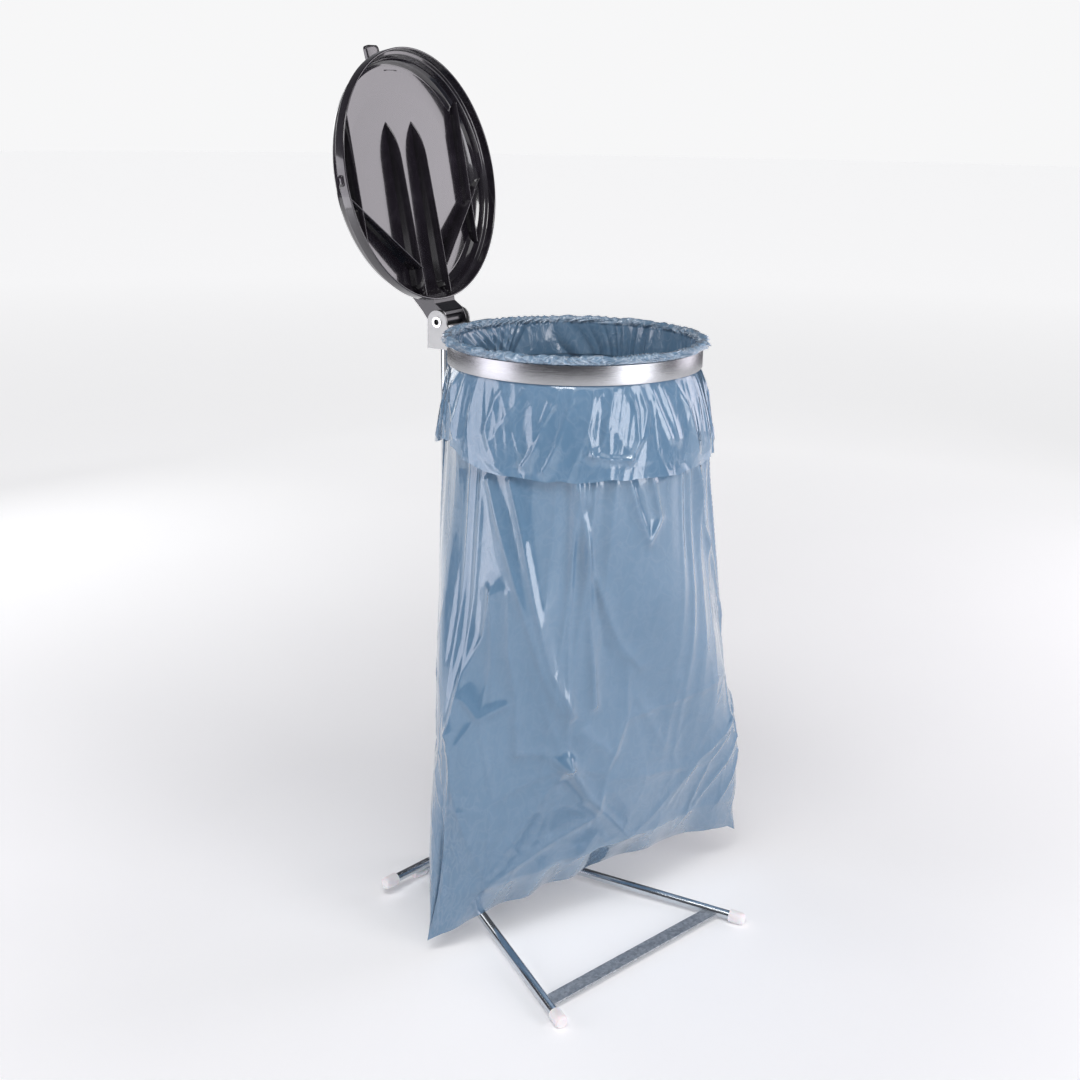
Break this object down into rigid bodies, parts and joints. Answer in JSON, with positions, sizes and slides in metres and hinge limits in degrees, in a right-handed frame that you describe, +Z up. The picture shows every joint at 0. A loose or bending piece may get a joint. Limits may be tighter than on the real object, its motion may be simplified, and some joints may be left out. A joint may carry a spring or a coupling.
{
  "type": "refuse sack stand",
  "caption": "Free-standing holder that keeps a plastic refuse sack open on a metal ring, with post, splayed tube base and hinged lid.",
  "frame": {"origin": "on the floor, under the middle of the bounding box, with the lid open", "axes": "+Z up from the floor; -Y towards the front, where a person faces the ring; the hinge is at the back (+Y) and its line runs along X"},
  "size_m": [0.6668, 0.7286, 1.457],
  "materials": {
    "plated_tube": "bright zinc-plated drawn steel tube, slightly blue",
    "zinc_plate": "pale zinc-plated steel",
    "galvanised_strip": "galvanised, with grainy spangle",
    "bright_hardware": "bright zinc",
    "brushed_band": "brushed round the hoop",
    "white_cap": "satin white plastic",
    "black_plastic": "gloss black",
    "lid_plastic": "gloss black moulding",
    "blue_film": "thin glossy translucent steel-blue film"
  },
  "bodies": {
    "stand": {"left_leg_tube": "plated_tube", "right_leg_tube": "plated_tube", "rear_foot_tube": "plated_tube", "front_strip": "galvanised_strip", "post_socket": "zinc_plate", "clamp_screw": "bright_hardware", "post": "plated_tube", "post_plug": "black_plastic", "front_left_cap": "white_cap", "front_right_cap": "white_cap", "rear_left_cap": "white_cap", "rear_right_cap": "white_cap", "foot_tube_left_cap": "white_cap", "foot_tube_right_cap": "white_cap", "hinge_bracket": "zinc_plate", "band_rivets": "bright_hardware", "holder_band": "brushed_band", "sack_ring": "brushed_band", "pivot_tube": "bright_hardware", "pivot_washers": "bright_hardware", "sack_rim": "blue_film", "sack_cuff": "blue_film", "sack_body": "blue_film"},
    "lid": {"lid_shell": "lid_plastic", "lid_hinge_arm": "black_plastic", "arm_screws": "bright_hardware"}
  },
  "joints": [
    {"name": "lid_hinge", "type": "hinge", "parent": "stand", "child": "lid", "pos_m": [0.02272, 0.20311, 1.015], "axis": [1, 0, 0], "range_deg": [0, 100.9]}
  ]
}
